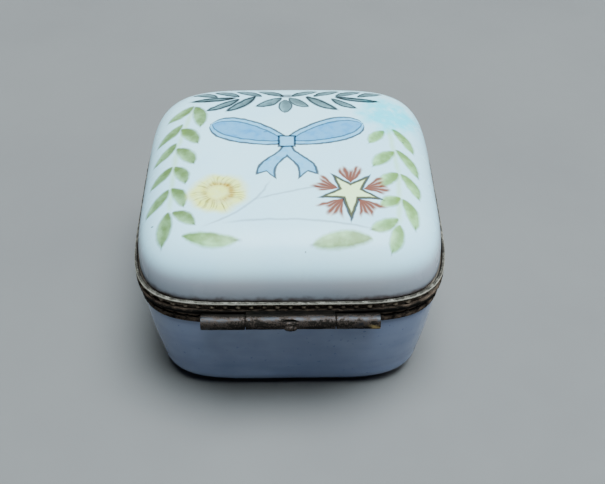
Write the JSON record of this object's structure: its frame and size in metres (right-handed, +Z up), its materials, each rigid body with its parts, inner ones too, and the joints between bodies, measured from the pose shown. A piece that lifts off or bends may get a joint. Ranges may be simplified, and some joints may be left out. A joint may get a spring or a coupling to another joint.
{
  "type": "hinged porcelain box",
  "caption": "Square porcelain keepsake box with a cushion-shaped lid on a barrel hinge, brass rim mounts and a rounded foot, for holding small things.",
  "frame": {"origin": "centre of the foot, on the table", "axes": "+Z up; the hinge is on the -Y side and the thumb lift on the +Y side; +X is to the right seen from the hinge side"},
  "size_m": [0.06, 0.0674, 0.0394],
  "materials": {
    "white_glaze": "glossy white glaze with painted leaves",
    "blue_glaze": "glossy pale blue glaze",
    "aged_brass": "gilt brass, worn bright on the edges and dark in the recesses",
    "worn_brass": "worn gilding over greyish brass",
    "plaster": "matt plaster"
  },
  "bodies": {
    "base": {"base_porcelain": "blue_glaze", "base_bedding": "plaster", "base_mount": "aged_brass", "base_pearl_strip": "aged_brass", "base_bezel": "aged_brass", "base_bearer": "worn_brass", "hinge_knuckle_left": "worn_brass", "hinge_knuckle_right": "worn_brass", "hinge_pin": "worn_brass"},
    "lid": {"lid_porcelain": "white_glaze", "lid_bedding": "plaster", "lid_mount": "aged_brass", "lid_edge_wire": "aged_brass", "lid_pearl_strip": "aged_brass", "thumb_lift": "aged_brass", "lid_bearer": "worn_brass", "hinge_knuckle_centre": "worn_brass"}
  },
  "joints": [
    {"name": "lid_hinge", "type": "hinge", "parent": "base", "child": "lid", "pos_m": [0, -0.0319, 0.0246], "axis": [1, 0, 0], "range_deg": [0, 95]}
  ]
}
